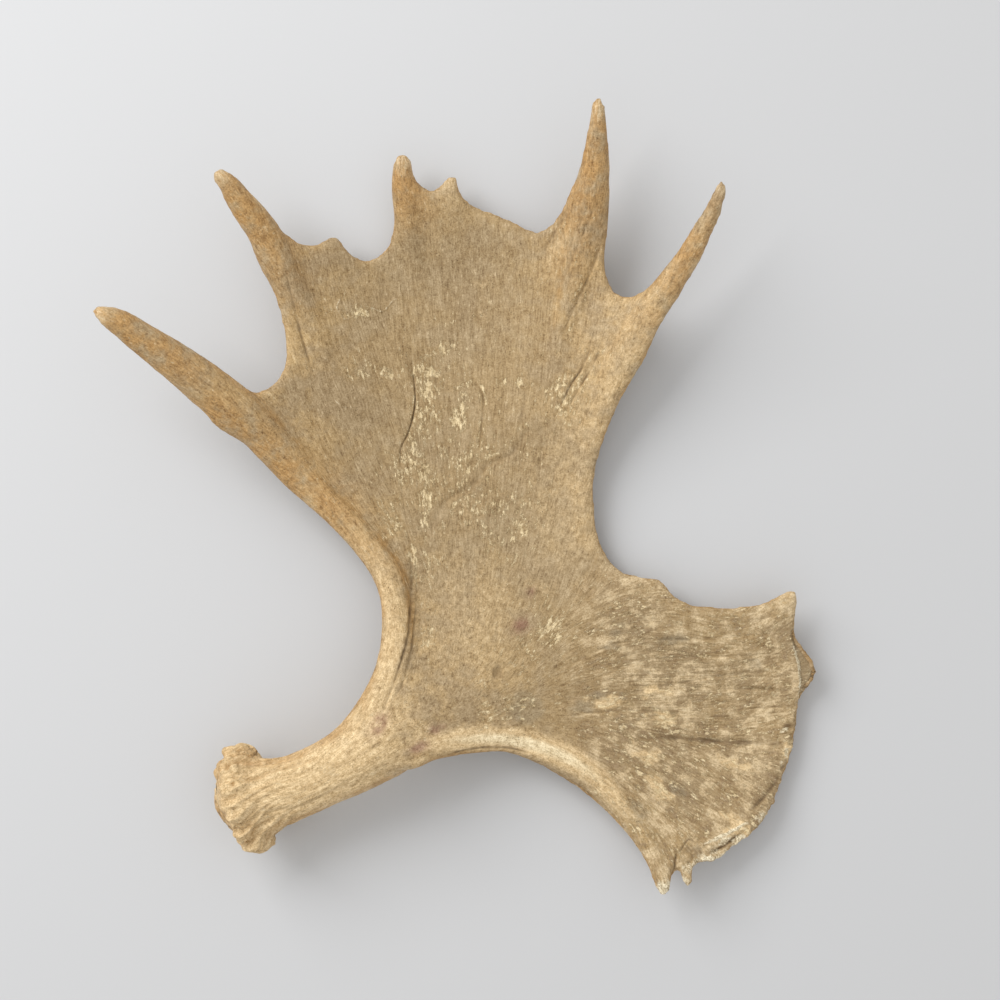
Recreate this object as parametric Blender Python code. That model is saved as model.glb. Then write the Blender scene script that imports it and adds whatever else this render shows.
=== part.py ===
"""A left moose antler, lying on its convex back with the hollow of its palms facing up.

The two palms are cut flat as plates and dished, the beam, ribs and tines are tapering limbs,
and one skin is drawn over all of them and eased. The skin is then parted at the main fork.
Sizes are in millimetres. X and Y lie in the plane of the floor, and Z is the height above it.
"""
import math

import bmesh
import bpy
import numpy as np
from mathutils import Vector

MM = 0.001
UP = Vector((0, 0, 1))

# The belly line runs along the lowest part of both palms: x, y and height of the mid-surface.
BELLY_LINE = [
    (-50, 170, 5.5), (-45, 60, 5.5), (10, -40, 9.0),
    (60, -115, 11.0), (115, -175, 8.0), (190, -200, 4.9),
]
# Away from the belly line the mid-surface curls up, gently at first and then at a steady slope.
CURL_HEIGHT = 92
CURL_REACH = 148

# Palm outlines in plan, without the tines.
MAIN_PALM_EDGE = [
    (-117, -185), (-110, -157), (-105, -132), (-102, -106), (-106, -80), (-119, -53), (-141, -27),
    (-175, 4), (-217, 44), (-255, 77), (-242, 99), (-224, 96), (-211, 96), (-200, 102),
    (-192, 116), (-190, 137), (-194, 160), (-199, 180), (-208, 202), (-217, 221), (-208, 243),
    (-197, 240), (-189, 236), (-180, 229), (-169, 226), (-159, 228), (-152, 234), (-145, 235),
    (-139, 227), (-131, 219), (-119, 214), (-108, 219), (-100, 228), (-96, 242), (-94, 262),
    (-95, 278), (-78, 287), (-70, 280), (-61, 275), (-54, 278), (-49, 285), (-38, 285),
    (-36, 275), (-31, 268), (-20, 261), (-3, 255), (12, 248), (25, 241), (35, 239),
    (45, 245), (52, 254), (58, 266), (64, 278), (95, 276), (96, 258), (95, 233),
    (93, 209), (96, 193), (105, 181), (117, 180), (131, 188), (144, 201), (159, 198),
    (148, 165), (135, 144), (121, 121), (108, 98), (99, 74), (90, 47), (84, 22),
    (84, 0), (86, -27), (94, -49), (116, -89), (90, -161), (45, -218), (4, -223),
    (-18, -223), (-53, -226), (-83, -235),
]
BROW_PALM_EDGE = [
    (54, -54), (95, -53), (109, -63), (125, -67), (139, -68), (148, -75), (155, -84),
    (168, -91), (188, -94), (217, -93), (237, -88), (250, -80), (258, -77), (263, -79),
    (264, -93), (263, -108), (264, -122), (270, -130), (277, -139), (282, -149), (281, -160),
    (274, -169), (268, -177), (266, -192), (264, -212), (260, -229), (253, -248), (244, -270),
    (229, -293), (210, -307), (187, -322), (172, -324), (167, -334), (157, -324), (149, -341),
    (137, -336), (127, -318), (116, -302), (98, -281), (76, -262), (54, -247), (31, -234),
    (0, -222), (-26, -212), (-27, -125),
]
MAIN_PALM_THICK = 12
BROW_PALM_THICK = 11
EDGE_ROUND = 4
# Both palms thicken towards the fork.
FORK_CENTRE = (-61, -176)
FORK_EXTRA_THICK = 16
FORK_REACH = 85

# Limbs that lie on the dished mid-surface: x, y and radius along each one, root first.
TINES_AND_RIBS = {
    "first tine": [
        (-151, 9, 7), (-189, 42, 16), (-229, 78, 21), (-263, 106, 19), (-292, 128, 16), (-310, 141, 14),
        (-325, 152, 12), (-335, 157, 9), (-339, 160, 7),
    ],
    "second tine": [
        (-138, 89, 5), (-164, 146, 11), (-182, 181, 14), (-196, 209, 16), (-208, 236, 15), (-219, 251, 14),
        (-229, 264, 12), (-236, 275, 10), (-242, 280, 8),
    ],
    "middle tine": [
        (-61, 153, 5), (-72, 197, 8), (-80, 232, 12), (-84, 262, 12), (-86, 279, 11), (-86, 291, 10),
        (-86, 299, 8),
    ],
    "small point": [(-40, 232, 5), (-42, 263, 10), (-43, 275, 8), (-42, 285, 5)],
    "bump": [(-147, 187, 5), (-147, 211, 9), (-148, 226, 7)],
    "third tine": [
        (40, 89, 5), (58, 151, 12), (71, 208, 18), (77, 252, 19), (80, 274, 16), (83, 290, 14),
        (84, 307, 11), (85, 323, 9), (85, 336, 7), (85, 344, 6),
    ],
    "fourth tine": [
        (54, 27, 5), (84, 84, 9), (106, 127, 12), (129, 162, 13), (145, 183, 13), (154, 197, 12),
        (163, 210, 11), (170, 223, 10), (176, 235, 9), (182, 247, 8), (187, 260, 7), (190, 269, 5),
    ],
    "back rim": [
        (109, -80, 7), (87, -50, 8), (79, -27, 8), (76, 0, 8), (78, 31, 8), (88, 66, 9),
        (101, 97, 10), (116, 125, 11), (129, 153, 10), (135, 175, 9),
    ],
    "arch rim": [
        (-61, -215, 14), (-31, -212, 12), (0, -211, 12), (40, -222, 12), (71, -239, 12), (99, -263, 12),
        (120, -287, 12), (134, -310, 9), (144, -342, 7),
    ],
    "stub": [(164, -306, 7), (165, -325, 6), (166, -339, 5)],
    "brow spike": [(179, -161, 5), (230, -118, 8), (249, -95, 9), (257, -84, 6)],
}
# Limbs with heights of their own: x, y, height and radius. The beam leaves the palms at the fork
# and runs level to the burr, and the front rim carries its upper side on along the main palm.
BEAM = [
    (-242, -270, 35, 13), (-239, -269, 36.5, 23), (-233, -267, 38.5, 32), (-226, -264, 41, 38),
    (-217, -263, 43.5, 39), (-207, -260, 45.5, 35), (-196, -257, 47, 32), (-182, -253, 48, 29),
    (-154, -240, 49, 29), (-130, -228, 52, 31), (-101, -212, 53, 33), (-70, -196, 45, 25),
    (-40, -178, 37, 14), (-9, -156, 24, 8),
]
FRONT_RIM = [
    (-176, -255, 47, 19), (-145, -228, 50, 22), (-121, -204, 53, 20), (-107, -180, 54, 18),
    (-97, -156, 51, 16), (-91, -127, 47, 15), (-91, -99, 43, 14), (-98, -69, 39, 14),
    (-118, -40, 36, 13), (-147, -9, 37, 13), (-180, 23, 40, 15), (-209, 52, 51, 14),
    (-229, 72, 60, 7),
]
# Limbs are a little flatter than they are wide, and end in a round tip, drawn through these
# turns of it in degrees.
LIMB_FLATNESS = 0.86
TIP_TURNS = (30, 55, 75, 87)

# The burr is a ring of knobs around the foot of the beam, and leans out over its end.
BURR_CENTRE = (-220, -262, 39)
BURR_HEADING = math.radians(14)
BURR_TILT = math.radians(-16)
BURR_RING_RADIUS = 39.5
BURR_KNOBS = 23
BURR_KNOB_RADIUS = 6.5
BURR_KNOB_LENGTH = 2
# Knobs differ in size and in how far they stand out, with no regular beat around the ring.
BURR_UNEVENNESS = 0.06
BURR_RHYTHM = 5.3

# The skin: how finely it is drawn, how far it is eased, and its number of triangles.
PLATE_GRID = 4.0
PLATE_EASING = 1
SKIN_GRID = 2.6
SKIN_EASING = 4
HEIGHT_EASING = 18
SKIN_TRIANGLES = 8300

# Upright cuts across the main fork: a point on the cut, and the way it faces in plan.
BEAM_CUT = (-86, -203, 44)
BROW_CUT = (50, -144, -31)
CUT_GAP = 0.3
CUT_MERGE = 0.00001

COLOURS = {
    "beam": (0.72, 0.56, 0.35),
    "main_palm": (0.43, 0.31, 0.18),
    "brow_palm": (0.48, 0.35, 0.20),
}
ROUGHNESS = 0.7


def clear_scene():
    for thing in list(bpy.data.objects):
        bpy.data.objects.remove(thing, do_unlink=True)


def palm_height(x, y):
    """Height of the dished mid-surface over the point (x, y)."""
    nearest = np.full(np.shape(x), np.inf)
    belly = np.zeros(np.shape(x))
    for (ax, ay, az), (bx, by, bz) in zip(BELLY_LINE, BELLY_LINE[1:]):
        length_squared = (bx - ax) ** 2 + (by - ay) ** 2
        along = ((x - ax) * (bx - ax) + (y - ay) * (by - ay)) / length_squared
        along = np.clip(along, 0, 1)
        away = np.hypot(x - ax - along * (bx - ax), y - ay - along * (by - ay))
        belly = np.where(away < nearest, az + along * (bz - az), belly)
        nearest = np.minimum(nearest, away)
    return belly + CURL_HEIGHT * (np.sqrt(1 + (nearest / CURL_REACH) ** 2) - 1)


def finished_mesh(thing):
    """The mesh of an object as its modifiers leave it; the object itself is removed."""
    graph = bpy.context.evaluated_depsgraph_get()
    mesh = bpy.data.meshes.new_from_object(thing.evaluated_get(graph))
    bpy.data.objects.remove(thing, do_unlink=True)
    return mesh


def add_object(name, data):
    thing = bpy.data.objects.new(name, data)
    bpy.context.collection.objects.link(thing)
    return thing


def vertex_array(mesh):
    flat = np.empty(len(mesh.vertices) * 3, dtype=np.float32)
    mesh.vertices.foreach_get("co", flat)
    return flat.reshape(-1, 3)


def move_vertices(mesh, points):
    mesh.vertices.foreach_set("co", points.astype(np.float32).ravel())
    mesh.update()


def skin_over(meshes, grid, easing, height_easing):
    """One closed skin around all the meshes, its corners eased, and its height eased further."""
    joined = bmesh.new()
    for mesh in meshes:
        joined.from_mesh(mesh)
    together = bpy.data.meshes.new("together")
    joined.to_mesh(together)
    joined.free()
    thing = add_object("skin", together)
    remesh = thing.modifiers.new("skin", "REMESH")
    remesh.mode = "VOXEL"
    remesh.voxel_size = grid * MM
    ease = thing.modifiers.new("ease", "SMOOTH")
    ease.factor = 0.5
    ease.iterations = easing
    blend = thing.modifiers.new("blend", "SMOOTH")
    blend.factor = 0.5
    blend.iterations = height_easing
    blend.use_x = False
    blend.use_y = False
    return finished_mesh(thing)


def palm(edge, thickness):
    """A plate of the given outline with rounded edges, dished to the palm's height."""
    curve = bpy.data.curves.new("palm", "CURVE")
    curve.dimensions = "2D"
    curve.fill_mode = "BOTH"
    curve.resolution_u = 6
    curve.render_resolution_u = 0
    curve.extrude = (thickness / 2 - EDGE_ROUND) * MM
    curve.bevel_depth = EDGE_ROUND * MM
    curve.bevel_resolution = 2
    curve.offset = -EDGE_ROUND * MM
    outline = curve.splines.new("BEZIER")
    outline.bezier_points.add(len(edge) - 1)
    outline.use_cyclic_u = True
    for point, (x, y) in zip(outline.bezier_points, edge):
        point.co = (x * MM, y * MM, 0)
        point.handle_left_type = "AUTO"
        point.handle_right_type = "AUTO"
    plate = finished_mesh(add_object("palm", curve))
    plate = skin_over([plate], PLATE_GRID, PLATE_EASING, 0)
    points = vertex_array(plate)
    x, y = points[:, 0] / MM, points[:, 1] / MM
    from_fork = np.hypot(x - FORK_CENTRE[0], y - FORK_CENTRE[1])
    points[:, 2] *= 1 + FORK_EXTRA_THICK / thickness * np.exp(-((from_fork / FORK_REACH) ** 2))
    points[:, 2] += palm_height(x, y) * MM
    move_vertices(plate, points)
    return plate


def rounded(rows):
    """The rows of a limb with more rows that round off its far end."""
    end = np.array(rows[-1], dtype=float)
    way = end[:3] - rows[-2][:3]
    way /= np.linalg.norm(way)
    radius = end[3]
    turns = [math.radians(turn) for turn in TIP_TURNS]
    tip = [(*(end[:3] + way * radius * math.sin(turn)), radius * math.cos(turn)) for turn in turns]
    return list(rows) + tip


def limb(rows):
    """A tapering limb through rows of x, y, height and radius, flatter than it is wide."""
    rows = rounded(rows)
    curve = bpy.data.curves.new("limb", "CURVE")
    curve.dimensions = "3D"
    curve.resolution_u = 6
    curve.render_resolution_u = 0
    curve.bevel_depth = MM
    curve.bevel_resolution = 3
    curve.use_fill_caps = True
    line = curve.splines.new("BEZIER")
    line.bezier_points.add(len(rows) - 1)
    for point, (x, y, height, radius) in zip(line.bezier_points, rows):
        point.co = (x * MM, y * MM, height / LIMB_FLATNESS * MM)
        point.radius = radius
        point.handle_left_type = "AUTO"
        point.handle_right_type = "AUTO"
    mesh = finished_mesh(add_object("limb", curve))
    points = vertex_array(mesh)
    points[:, 2] *= LIMB_FLATNESS
    move_vertices(mesh, points)
    return mesh


def burr():
    """The ring of knobs around the foot of the beam, longer along the beam than across it."""
    knobs = bmesh.new()
    level = Vector((math.cos(BURR_HEADING), math.sin(BURR_HEADING), 0))
    along = level * math.cos(BURR_TILT) - UP * math.sin(BURR_TILT)
    across = UP.cross(level)
    steep = along.cross(across)
    centre = Vector(BURR_CENTRE) * MM
    for number in range(BURR_KNOBS):
        turn = math.tau * number / BURR_KNOBS
        uneven = 1 + BURR_UNEVENNESS * math.sin(BURR_RHYTHM * number)
        spoke = across * math.cos(turn) + steep * math.sin(turn) * LIMB_FLATNESS
        spoke *= BURR_RING_RADIUS * uneven * MM
        knob_radius = BURR_KNOB_RADIUS * uneven * MM
        ball = bmesh.ops.create_icosphere(knobs, subdivisions=2, radius=knob_radius)
        for vert in ball["verts"]:
            stretch = vert.co.dot(along) * (BURR_KNOB_LENGTH - 1)
            vert.co += along * stretch + centre + spoke
    mesh = bpy.data.meshes.new("burr")
    knobs.to_mesh(mesh)
    knobs.free()
    return mesh


def lighten(mesh, triangles):
    """The mesh with fewer triangles, kept where the shape bends most."""
    thing = add_object("lighter", mesh)
    faces = sum(len(face.vertices) - 2 for face in mesh.polygons)
    fewer = thing.modifiers.new("fewer", "DECIMATE")
    fewer.ratio = triangles / faces
    return finished_mesh(thing)


def trim(mesh, point, facing):
    """Cut off what lies ahead of a flat cut, and close the cut face."""
    solid = bmesh.new()
    solid.from_mesh(mesh)
    geometry = solid.verts[:] + solid.edges[:] + solid.faces[:]
    bmesh.ops.bisect_plane(
        solid, geom=geometry, dist=CUT_MERGE, plane_co=point, plane_no=facing, clear_outer=True
    )
    rim = [edge for edge in solid.edges if edge.is_boundary]
    bmesh.ops.holes_fill(solid, edges=rim)
    bmesh.ops.triangulate(solid, faces=solid.faces[:])
    bmesh.ops.recalc_face_normals(solid, faces=solid.faces[:])
    cut = bpy.data.meshes.new("cut")
    solid.to_mesh(cut)
    solid.free()
    return cut


def fork_side(mesh, cut, side):
    """The part of the mesh on one side of a fork cut: side is 1 ahead of it, -1 behind it."""
    x, y, heading = cut
    facing = Vector((math.cos(math.radians(heading)), math.sin(math.radians(heading)), 0))
    point = Vector((x, y, 0)) * MM + facing * side * CUT_GAP / 2 * MM
    return trim(mesh, point, -facing * side)


def antler_skin():
    """The whole antler as one light skin, with flats where it touches the floor."""
    shapes = [palm(MAIN_PALM_EDGE, MAIN_PALM_THICK), palm(BROW_PALM_EDGE, BROW_PALM_THICK)]
    for rows in TINES_AND_RIBS.values():
        shapes.append(limb([(x, y, float(palm_height(x, y)), radius) for x, y, radius in rows]))
    shapes += [limb(BEAM), limb(FRONT_RIM), burr()]
    skin = lighten(skin_over(shapes, SKIN_GRID, SKIN_EASING, HEIGHT_EASING), SKIN_TRIANGLES)
    return trim(skin, Vector((0, 0, 0)), Vector((0, 0, -1)))


def box_middle(mesh):
    """The middle of the mesh's box in plan."""
    points = vertex_array(mesh)
    return (points.max(axis=0) + points.min(axis=0)) / 2 * (1, 1, 0)


def antler_material(name):
    material = bpy.data.materials.new(name)
    material.use_nodes = True
    shader = material.node_tree.nodes["Principled BSDF"]
    shader.inputs["Base Color"].default_value = (*COLOURS[name], 1)
    shader.inputs["Roughness"].default_value = ROUGHNESS
    shader.inputs["Metallic"].default_value = 0
    return material


def add_piece(name, mesh, origin):
    """Add a node, moved so that the antler's origin is at the given point of the layout."""
    move_vertices(mesh, vertex_array(mesh) - origin)
    mesh.shade_smooth()
    mesh.materials.clear()
    mesh.materials.append(antler_material(name))
    add_object(name, mesh)


clear_scene()
skin = antler_skin()
middle = box_middle(skin)
palms = fork_side(skin, BEAM_CUT, 1)
add_piece("beam", fork_side(skin, BEAM_CUT, -1), middle)
add_piece("main_palm", fork_side(palms, BROW_CUT, -1), middle)
add_piece("brow_palm", fork_side(palms, BROW_CUT, 1), middle)
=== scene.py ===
"""A left moose antler, lying on its convex back with the hollow of its palms facing up.

The antler is one bone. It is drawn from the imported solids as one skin, its furrows, cracks and
breaks are worked into that skin, and it is parted at the main fork only at the end.
"""
import math

import bmesh
import bpy
import numpy as np
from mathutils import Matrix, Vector, kdtree


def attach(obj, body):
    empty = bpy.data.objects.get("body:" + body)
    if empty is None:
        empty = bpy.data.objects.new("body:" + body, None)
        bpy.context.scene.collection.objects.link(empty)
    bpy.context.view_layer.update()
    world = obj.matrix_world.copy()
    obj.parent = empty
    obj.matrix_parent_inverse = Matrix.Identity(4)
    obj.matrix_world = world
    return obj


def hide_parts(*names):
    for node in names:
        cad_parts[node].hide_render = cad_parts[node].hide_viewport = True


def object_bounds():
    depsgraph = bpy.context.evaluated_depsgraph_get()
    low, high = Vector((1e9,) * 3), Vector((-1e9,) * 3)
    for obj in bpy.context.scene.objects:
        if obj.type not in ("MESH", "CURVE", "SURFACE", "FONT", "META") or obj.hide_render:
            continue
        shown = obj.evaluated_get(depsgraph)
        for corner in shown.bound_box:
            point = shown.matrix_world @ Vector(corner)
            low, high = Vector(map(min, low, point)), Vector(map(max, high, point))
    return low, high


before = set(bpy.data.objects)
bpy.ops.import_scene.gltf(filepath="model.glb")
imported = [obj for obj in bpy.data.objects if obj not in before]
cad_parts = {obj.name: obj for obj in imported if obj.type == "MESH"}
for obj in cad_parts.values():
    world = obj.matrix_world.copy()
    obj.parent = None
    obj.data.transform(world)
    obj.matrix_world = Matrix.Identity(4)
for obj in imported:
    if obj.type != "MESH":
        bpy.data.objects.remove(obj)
cad_low, cad_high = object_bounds()

# ----------------------------------------------------------------------------------------
# The grown bone. An antler grows in one summer from the burr outwards, as one bone with a hard
# shell over a spongy core. The three solids of the frame are drawn back together here into one
# skin that flows through the fork, and the skin is eased and made fine enough to carve.
MM = 0.001
CUT_GAP = 0.5 * MM
CUT_OVERLAP = 4
SKIN_GRID = 3.4 * MM
EASINGS = 14
EASE_IN, EASE_OUT = 0.5, -0.53
FINE_LEVELS = 2


def vertex_array(mesh):
    flat = np.empty(len(mesh.vertices) * 3, dtype=np.float32)
    mesh.vertices.foreach_get("co", flat)
    return flat.reshape(-1, 3).astype(float)


def normal_array(mesh):
    flat = np.empty(len(mesh.vertices) * 3, dtype=np.float32)
    mesh.vertex_normals.foreach_get("vector", flat)
    return flat.reshape(-1, 3).astype(float)


def move_vertices(mesh, points):
    mesh.vertices.foreach_set("co", points.astype(np.float32).ravel())
    mesh.update()


def evaluated(mesh, modifiers):
    """The mesh as the given modifiers leave it: pairs of a modifier's kind and its settings."""
    thing = bpy.data.objects.new("bone", mesh)
    bpy.context.collection.objects.link(thing)
    for kind, settings in modifiers:
        modifier = thing.modifiers.new(kind.lower(), kind)
        for name, value in settings.items():
            setattr(modifier, name, value)
    graph = bpy.context.evaluated_depsgraph_get()
    result = bpy.data.meshes.new_from_object(thing.evaluated_get(graph))
    bpy.data.objects.remove(thing, do_unlink=True)
    return result


def overlap_cuts(meshes):
    """Push the faces of each fork cut past each other, so that the solids run together."""
    corners = [vertex_array(mesh) for mesh in meshes]
    for number, mesh in enumerate(meshes):
        others = np.concatenate(corners[:number] + corners[number + 1:])
        tree = kdtree.KDTree(len(others))
        for index, place in enumerate(others):
            tree.insert(place, index)
        tree.balance()
        for vertex in mesh.vertices:
            nearest, index, away = tree.find(vertex.co)
            if away < CUT_GAP:
                vertex.co = vertex.co + (nearest - vertex.co) * CUT_OVERLAP


def eased(mesh, rounds):
    """Smooth away the facets of the solids without drawing in the tines."""
    edges = np.empty(len(mesh.edges) * 2, dtype=np.int32)
    mesh.edges.foreach_get("vertices", edges)
    one, other = edges.reshape(-1, 2).T
    points = vertex_array(mesh)
    count = len(points)
    neighbours = np.bincount(one, minlength=count) + np.bincount(other, minlength=count)
    for share in [EASE_IN, EASE_OUT] * rounds:
        for axis in range(3):
            along = points[:, axis]
            around = np.bincount(one, along[other], count) + np.bincount(other, along[one], count)
            points[:, axis] = along + share * (around / neighbours - along)
    move_vertices(mesh, points)
    return mesh


def grown_skin():
    """The one skin of the whole antler, smooth and fine enough to carve."""
    solids = [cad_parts[name].data.copy() for name in ("beam", "main_palm", "brow_palm")]
    overlap_cuts(solids)
    joined = bmesh.new()
    for solid in solids:
        joined.from_mesh(solid)
    whole = bpy.data.meshes.new("whole")
    joined.to_mesh(whole)
    joined.free()
    skin = evaluated(whole, [("REMESH", {"mode": "VOXEL", "voxel_size": SKIN_GRID})])
    skin = eased(skin, EASINGS)
    return evaluated(skin, [("SUBSURF", {"levels": FINE_LEVELS})])


bone = grown_skin()
points = vertex_array(bone)
outward = normal_array(bone)
upper = np.clip(outward[:, 2] * 2.5, 0, 1)
relief = np.zeros(len(points))
marks = {}

# ----------------------------------------------------------------------------------------
# The growth of the bone. It grew from the burr along these lines to the end of each tine and
# to the outer edges of the palms, and its furrows, vessel grooves, cracks and streaks all
# follow them. Places are given as shares of the antler's box, across it and along it.
GROWTH_LINES = [
    # The front rim and the first tine, the second tine, and the bump between them.
    [(0.207, 0.133), (0.302, 0.158), (0.362, 0.210), (0.397, 0.277), (0.407, 0.359), (0.363, 0.443),
     (0.251, 0.560), (0.094, 0.678), (0.006, 0.728)],
    [(0.274, 0.145), (0.372, 0.205), (0.419, 0.262), (0.438, 0.348), (0.424, 0.430), (0.374, 0.525),
     (0.318, 0.639), (0.277, 0.727), (0.220, 0.830), (0.161, 0.901)],
    [(0.330, 0.175), (0.412, 0.238), (0.450, 0.348), (0.435, 0.461), (0.394, 0.589), (0.349, 0.716),
     (0.318, 0.823)],
    # The middle tine, the small point and the open top of the main palm.
    [(0.358, 0.187), (0.433, 0.243), (0.464, 0.348), (0.460, 0.474), (0.448, 0.628), (0.433, 0.769),
     (0.416, 0.929)],
    [(0.386, 0.196), (0.453, 0.249), (0.487, 0.360), (0.491, 0.500), (0.491, 0.654), (0.488, 0.794),
     (0.485, 0.906)],
    [(0.413, 0.208), (0.474, 0.248), (0.516, 0.347), (0.540, 0.474), (0.554, 0.628), (0.555, 0.755),
     (0.555, 0.850)],
    # The third and fourth tines.
    [(0.440, 0.213), (0.502, 0.260), (0.558, 0.359), (0.601, 0.500), (0.633, 0.652), (0.659, 0.789),
     (0.686, 0.988)],
    [(0.467, 0.218), (0.537, 0.265), (0.620, 0.372), (0.665, 0.500), (0.692, 0.601), (0.732, 0.685),
     (0.799, 0.778), (0.854, 0.889)],
    # The brow palm: its spike, its flap, its broken edge and the arch rim below it.
    [(0.467, 0.214), (0.565, 0.258), (0.665, 0.321), (0.778, 0.347), (0.892, 0.337), (0.964, 0.381)],
    [(0.467, 0.209), (0.594, 0.233), (0.722, 0.247), (0.865, 0.250), (0.990, 0.281)],
    [(0.468, 0.202), (0.586, 0.212), (0.693, 0.187), (0.807, 0.135), (0.898, 0.074)],
    [(0.427, 0.195), (0.502, 0.197), (0.615, 0.180), (0.708, 0.123), (0.764, 0.057), (0.786, 0.011)],
]
GUIDE_REACH = 9 * MM
GRID_STEP = 4 * MM
SECTOR = math.radians(12)
SECTOR_SHIFT = 11.3


def in_plan(shares):
    """Places in plan, in metres, from shares of the antler's box."""
    low, high = np.array(cad_low[:2]), np.array(cad_high[:2])
    return low + np.array(shares) * (high - low)


def flowing(shares, step=2.5 * MM):
    """Points along a smooth curve through the given places."""
    places = in_plan(shares)
    ends = np.vstack([2 * places[0] - places[1], places, 2 * places[-1] - places[-2]])
    line = []
    for before, here, there, after in zip(ends, ends[1:], ends[2:], ends[3:]):
        count = max(2, int(np.linalg.norm(there - here) / step))
        for t in np.arange(count) / count:
            line.append(0.5 * (2 * here + (there - before) * t
                               + (2 * before - 5 * here + 4 * there - after) * t ** 2
                               + (3 * here - before - 3 * there + after) * t ** 3))
    return np.vstack([line, places[-1]])


def distance_along(line, spots):
    """For each spot: its distance from the line, which side of it, and how far along it."""
    best = np.full(len(spots), np.inf)
    side = np.zeros(len(spots))
    along = np.zeros(len(spots))
    heading = np.zeros((len(spots), 2))
    steps = np.linalg.norm(np.diff(line, axis=0), axis=1)
    run = np.concatenate([[0], np.cumsum(steps)]) / steps.sum()
    for number, (start, end) in enumerate(zip(line, line[1:])):
        way = (end - start) / steps[number]
        offset = spots - start
        reach = np.clip(offset @ way, 0, steps[number])
        away = np.hypot(offset[:, 0] - reach * way[0], offset[:, 1] - reach * way[1])
        nearer = away < best
        best[nearer] = away[nearer]
        side[nearer] = (way[0] * offset[:, 1] - way[1] * offset[:, 0])[nearer]
        along[nearer] = run[number] + reach[nearer] / steps.sum()
        heading[nearer] = way
    return best, np.sign(side), along, heading


def growth_heading(spots):
    """The direction of growth at each spot, as an angle from the X axis."""
    low = spots.min(axis=0) - GRID_STEP
    count = np.ceil((spots.max(axis=0) - low) / GRID_STEP).astype(int) + 2
    grid = np.stack(np.meshgrid(*[np.arange(n) for n in count], indexing="ij"), axis=-1)
    total = np.zeros((*count, 2))
    for shares in GROWTH_LINES:
        corners = low + grid.reshape(-1, 2) * GRID_STEP
        away, side, along, heading = distance_along(flowing(shares, 12 * MM), corners)
        pull = heading / (away ** 2 + GUIDE_REACH ** 2)[:, None] ** 1.5
        total += pull.reshape(total.shape)
    total /= np.linalg.norm(total, axis=2, keepdims=True)
    place = (spots - low) / GRID_STEP
    cell = place.astype(int)
    part = place - cell
    way = 0
    for corner in np.ndindex(2, 2):
        weight = np.prod(np.where(corner, part, 1 - part), axis=1)
        way = way + total[tuple((cell + corner).T)] * weight[:, None]
    return np.arctan2(way[:, 1], way[:, 0])


heading = growth_heading(points[:, :2])
marks["heading"] = heading

# ----------------------------------------------------------------------------------------
# The furrowed shell. While it grew, the bone was covered in velvet full of blood vessels,
# which left long furrows and channels along the growth, and pores where they entered it.
LATTICE = 64
EVERYWHERE = slice(None)


def lumps(places, seed):
    """Smooth noise from -1 to 1, at places measured in lumps."""
    table = np.random.default_rng(seed).uniform(-1, 1, LATTICE ** 3)
    cell = np.floor(places).astype(np.int32)
    part = places - cell
    part = part * part * (3 - 2 * part)
    weights = [(1 - part[:, axis], part[:, axis]) for axis in range(3)]
    rows = [[(cell[:, axis] + step) % LATTICE for step in (0, 1)] for axis in range(3)]
    total = np.zeros(len(places))
    for x, y, z in np.ndindex(2, 2, 2):
        value = table[(rows[0][x] * LATTICE + rows[1][y]) * LATTICE + rows[2][z]]
        total += value * weights[0][x] * weights[1][y] * weights[2][z]
    return total


def bumps(size, seed, spots=EVERYWHERE):
    """Smooth noise from -1 to 1 over the bone, or at some spots, its lumps so many mm across."""
    return lumps(points[spots] / (size * MM), seed)


def furrows(across, along, seed):
    """Noise drawn out along the growth, its lumps so many mm across it and along it."""
    total = np.zeros(len(points))
    for family in (0, 1):
        centre = 2 * np.round((heading / SECTOR - family) / 2) + family
        turn = centre * SECTOR
        ahead = points[:, 0] * np.cos(turn) + points[:, 1] * np.sin(turn)
        aside = points[:, 1] * np.cos(turn) - points[:, 0] * np.sin(turn)
        places = np.column_stack([ahead / along, aside / across, points[:, 2] / across]) / MM
        share = np.cos(math.pi / 2 * (heading / SECTOR - centre))
        total += share * lumps(places + centre[:, None] * SECTOR_SHIFT, seed)
    return total


def swelling(value, low, high):
    """0 below low, 1 above high, and smooth between them."""
    part = np.clip((value - low) / (high - low), 0, 1)
    return part * part * (3 - 2 * part)


def channels(across, along, width, seed):
    """Narrow winding channels along the growth: 1 in the channel, 0 away from it."""
    return np.exp(-(furrows(across, along, seed) / width) ** 2)


from_burr = np.linalg.norm(points[:, :2] - in_plan((0.19, 0.12)), axis=1) / MM
beam_share = 1 - swelling(from_burr, 50, 250)
edge_share = swelling(1 - np.abs(outward[:, 2]), 0.12, 0.6)
brow_share = swelling(points[:, 0], 0.07, 0.15) * swelling(-points[:, 1], 0.02, 0.10)
streaks = furrows(4.5, 60, 3)
fine_streaks = furrows(2.4, 34, 4)
relief += 0.5 * bumps(45, 1) + 0.22 * bumps(17, 2)
relief += (0.16 + 0.16 * beam_share + 0.30 * brow_share * upper) * streaks
relief += (0.10 + 0.12 * beam_share + 0.10 * brow_share * upper) * fine_streaks
winding = channels(16, 110, 0.10, 5) * swelling(bumps(38, 6), -0.1, 0.4)
relief -= 0.30 * winding
marks["groove"] = 0.35 * winding * upper
marks["straw"] = 0.95 * beam_share
marks["gold"] = np.clip(0.75 * edge_share, 0, 1)
for name in ("chip", "broken", "stain", "patch", "tip"):
    marks[name] = np.zeros(len(points))

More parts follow.
